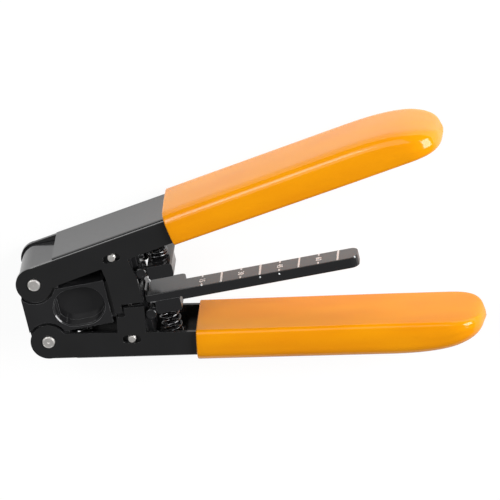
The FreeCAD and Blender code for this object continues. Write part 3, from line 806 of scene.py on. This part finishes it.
def between(a, b, crown):
    """Points from a to b without either end, bowed out by crown mm in the middle."""
    out = Vector((b[1] - a[1], a[0] - b[0]))
    out = out.normalized() if out.length > 1e-9 else out
    found = []
    for step in range(1, SIDE_STEPS):
        share = step / SIDE_STEPS
        bow = crown * math.sin(math.pi * share)
        found.append(
            (a[0] + (b[0] - a[0]) * share + out.x * bow, a[1] + (b[1] - a[1]) * share + out.y * bow)
        )
    return found


def ring_points(inner, outer, half, inner_corner, outer_corner, crown=0.0):
    """Points round a grip's section as (across, z) in mm, the sides crowned a little."""
    arcs = (
        (outer - outer_corner, half - outer_corner, outer_corner, 0),
        (inner + inner_corner, half - inner_corner, inner_corner, 1),
        (inner + inner_corner, -half + inner_corner, inner_corner, 2),
        (outer - outer_corner, -half + outer_corner, outer_corner, 3),
    )
    points = []
    for n, z, radius, quarter in arcs:
        arc = []
        for step in range(CORNER_STEPS):
            turn = math.pi / 2 * (quarter + step / (CORNER_STEPS - 1))
            arc.append((n + radius * math.cos(turn), z + radius * math.sin(turn)))
        if points:
            points += between(points[-1], arc[0], crown)
        points += arc
    return points + between(points[-1], points[0], crown)


def grip_ring(along, inset=0.0):
    """The grip's outside at a place along the lever, drawn in by inset mm."""
    share = min(1.0, (along - GRIP_START) / (FALLS["outer"][0] - GRIP_START))
    out = (FRONT_OUT + (BACK_OUT - FRONT_OUT) * share) * fullness(along, "outer")
    inner = (FRONT_IN + (BACK_IN - FRONT_IN) * share) * fullness(along, "inner")
    size = fullness(along, "side")
    half = HALF_WIDTH * size
    middle = (out + inner) / 2
    corners = []
    for corner in (INNER_CORNER, OUTER_CORNER):
        grown = corner + (middle - corner) * min(1.0, CORNER_GROWTH * (1 - size))
        fitted = min(grown * min(1.0, middle / corner), middle * 0.98, half * 0.98)
        corners.append(max(0.05, fitted - inset))
    bow = CROWN * size * size
    return ring_points(-inner + inset + bow, out - inset - bow, half - inset - bow, *corners, bow)


def grip_mesh(name, way):
    """One grip as a skin of rings, from the drip round to the floor of its mouth."""
    places = [(GRIP_END + DRIP_HEIGHT, [(0.0, 0.0)])]
    fall = FALLS["outer"][0]
    for step in range(END_RINGS, 0, -1):
        turn = math.radians(LAST_TURN) * step / END_RINGS
        along = fall + (GRIP_END - fall) * math.sin(turn)
        ring = grip_ring(along)
        size = sum(Vector(point).length for point in ring) / len(ring)
        places.append((along + DRIP_HEIGHT * math.exp(-(size / DRIP_SPREAD) ** 2), ring))
    for step in range(BODY_RINGS, 0, -1):
        along = GRIP_START + LIP + (fall - GRIP_START - LIP) * step / BODY_RINGS
        places.append((along, grip_ring(along)))
    for step in range(LIP_RINGS + 1):
        turn = math.pi / 2 * step / LIP_RINGS
        ahead = LIP * (1 - math.sin(turn))
        places.append((GRIP_START + ahead, grip_ring(GRIP_START + LIP, LIP * (1 - math.cos(turn)))))
    mouth = ring_points(MOUTH_IN, MOUTH_OUT, MOUTH_HALF, MOUTH_CORNER, MOUTH_CORNER)
    places.append((GRIP_START, mouth))
    places.append((GRIP_START + MOUTH_DEPTH, mouth))
    form = bmesh.new()
    rings = []
    for along, points in places:
        ring = []
        for across, z in points:
            x = along * math.cos(LEVER_ANGLE) - across * math.sin(LEVER_ANGLE)
            y = PIVOT_Y + along * math.sin(LEVER_ANGLE) + across * math.cos(LEVER_ANGLE)
            ring.append(form.verts.new(at(x, way * y, z)))
        rings.append(ring)
    bridge(form, rings)
    form.faces.new(rings[-1])
    return mesh_from(form, name, sharp=50)


vinyl_skin, given, result = effect(
    "Dipped vinyl",
    {
        "Vinyl": (0.93, 0.345, 0.0, 1.0),
        "Thick vinyl": (0.88, 0.30, 0.0, 1.0),
        "Smooth": 0.1,
        "Handled": 0.2,
    },
    {"Color": "Color", "Roughness": "Float", "Height": "Float"},
)
place = put(vinyl_skin, "ShaderNodeTexCoord").outputs["Object"]
long = times(vinyl_skin, place, (0.35, 1.0, 1.0))
sag = grain(vinyl_skin, long, 11.0, 1.0)
peel = grain(vinyl_skin, place, 1.5, 2.0)
smear = grain(vinyl_skin, place, 6.0, 4.0, 0.6)
deeper = spread(vinyl_skin, sag, 0.3, 0.7, 0.0, 1.0)
colour = blended(vinyl_skin, deeper, given["Vinyl"], given["Thick vinyl"])
vinyl_skin.links.new(colour, result["Color"])
handled = spread(vinyl_skin, smear, 0.35, 0.75, given["Smooth"], given["Handled"])
vinyl_skin.links.new(handled, result["Roughness"])
raised = maths(vinyl_skin, "ADD", sag, maths(vinyl_skin, "MULTIPLY", peel, 0.05))
vinyl_skin.links.new(raised, result["Height"])

vinyl, shader = coated("Orange vinyl", vinyl_skin, {"Smooth": 0.09, "Handled": 0.16}, 0.09)
shader.inputs["IOR"].default_value = 1.5
for side, way in (("upper", 1), ("lower", -1)):
    sleeve = new_piece(side + "_sleeve", grip_mesh(side + "_sleeve", way))
    fit(sleeve, vinyl, side + "_lever", "orange_vinyl", side + "_grip")


# Studio. The tool lies on a white table that runs out of the picture. An overhead strip, a wide
# dim sheet behind it and a window at the right light it, and the rest of the room is dim. In
# reflections alone a painted shadow of the tool darkens the table, most of all between the handles.
TABLE_REACH = 3.0  # metres
PAPER_TONE, PAPER_GLOW = 0.8, 0.42
WHITE_SHARE = 0.85  # of pure white in what the camera sees
MIRRORED_WHITE = 0.15  # of that white in what a glossy surface sees
# SHADE is the strength of that painted shadow, which only glossy rays see.
SHADE = 0.5  # how much of the table between the handles a glossy surface misses
table_mesh = bpy.data.meshes.new("table")
ways = ((-1, -1), (1, -1), (1, 1), (-1, 1))
table_corners = [(TABLE_REACH * x, TABLE_REACH * y, 0) for x, y in ways]
table_mesh.from_pydata(table_corners, [], [(0, 1, 2, 3)])
table = new_piece("table", table_mesh)
paper = bpy.data.materials.new("White paper")
paper.use_nodes = True
tree = paper.node_tree
shader = tree.nodes["Principled BSDF"]
shader.inputs["Base Color"].default_value = (PAPER_TONE, PAPER_TONE, PAPER_TONE, 1.0)
shader.inputs["Emission Color"].default_value = (1.0, 1.0, 1.0, 1.0)
shader.inputs["Emission Strength"].default_value = PAPER_GLOW
shader.inputs["Roughness"].default_value = 0.9
shader.inputs["Specular IOR Level"].default_value = 0.0
path = put(tree, "ShaderNodeLightPath").outputs
seen = maths(tree, "MAXIMUM", path["Is Camera Ray"], path["Is Transmission Ray"])
seen = maths(tree, "MAXIMUM", seen, maths(tree, "MULTIPLY", path["Is Glossy Ray"], MIRRORED_WHITE))
glow = put(tree, "ShaderNodeEmission", {"Color": (1.0, 1.0, 1.0, 1.0), "Strength": 1.0})
share = maths(tree, "MULTIPLY", seen, WHITE_SHARE)
mixed = put(tree, "ShaderNodeMixShader", {0: share, 1: shader.outputs[0], 2: glow.outputs[0]})
place = put(tree, "ShaderNodeTexCoord").outputs["Object"]
axes = put(tree, "ShaderNodeSeparateXYZ", {0: place}).outputs
# A painted shadow of the tool on the table between the handles, for glossy rays only.
across = spread(tree, axes["Y"], -8 * MM, 2 * MM, SHADE, 0.0)
along = spread(tree, axes["X"], -60 * MM, -20 * MM, 0.0, 1.0)
painted_shadow_between_handles = maths(tree, "MULTIPLY", across, along)
shade = maths(tree, "MULTIPLY", painted_shadow_between_handles, path["Is Glossy Ray"])
dark = put(tree, "ShaderNodeEmission", {"Color": (0.0, 0.0, 0.0, 1.0), "Strength": 0.0})
shaded = put(tree, "ShaderNodeMixShader", {0: shade, 1: mixed.outputs[0], 2: dark.outputs[0]})
tree.links.new(shaded.outputs[0], tree.nodes["Material Output"].inputs["Surface"])
table.data.materials.append(paper)

WATTS_PER_SQUARE_METRE = 4  # that give a lamp's face a radiance of 1


def softbox(name, toward, distance, width, height, radiance):
    """An area lamp that faces the tool from a direction, its face at a given radiance."""
    lamp = bpy.data.lights.new(name, "AREA")
    lamp.shape = "RECTANGLE"
    lamp.size = width
    lamp.size_y = height
    lamp.energy = radiance * WATTS_PER_SQUARE_METRE * width * height
    holder = bpy.data.objects.new(name, lamp)
    scene.collection.objects.link(holder)
    away = Vector(toward).normalized()
    facing = away.to_track_quat("Z", "Y").to_matrix().to_4x4()
    holder.matrix_world = Matrix.Translation(away * distance) @ facing


softbox("overhead strip", (-0.98, 0.94, 1.5), 2.03, width=1.46, height=0.5, radiance=3.6)
softbox("overhead sheet", (-0.5, 1.1, 1.5), 2.2, width=2.0, height=1.6, radiance=0.9)
softbox("window", (0.82, 0.15, 0.52), 1.6, width=1.0, height=1.0, radiance=7.0)

room = bpy.data.worlds.new("Room")
room.use_nodes = True
background = room.node_tree.nodes["Background"]
background.inputs["Color"].default_value = (1.0, 1.0, 1.0, 1.0)
background.inputs["Strength"].default_value = 0.12
scene.world = room
scene.view_settings.view_transform = "Standard"

TILT, LEAN, ROLL = math.radians(24.24), math.radians(-2.95), math.radians(12.767)
PIXELS_PER_MM, DISTANCE = 2.642, 2500.0
PICTURE = 500  # pixels, the photo's width and height
AIM = (80.0, 0.0, 0.0)
AIM_PIXEL = (248.96, 261.37)
SENSOR = 36.0
SIDEWAYS = (AIM_PIXEL[0] - PICTURE / 2) / PIXELS_PER_MM
UPWARDS = (PICTURE / 2 - AIM_PIXEL[1]) / PIXELS_PER_MM
turn = Matrix.Rotation(TILT, 3, "X") @ Matrix.Rotation(LEAN, 3, "Y") @ Matrix.Rotation(ROLL, 3, "Z")
right, up, back = turn
camera = bpy.data.objects.new("camera", bpy.data.cameras.new("camera"))
scene.collection.objects.link(camera)
camera.data.sensor_width = SENSOR
camera.data.lens = SENSOR * DISTANCE * PIXELS_PER_MM / PICTURE
camera.data.clip_start = 0.1
camera.data.clip_end = 20.0
eye = at(*AIM) + (back * DISTANCE - right * SIDEWAYS - up * UPWARDS) * MM
camera.matrix_world = Matrix.Translation(eye) @ turn.transposed().to_4x4()
scene.camera = camera
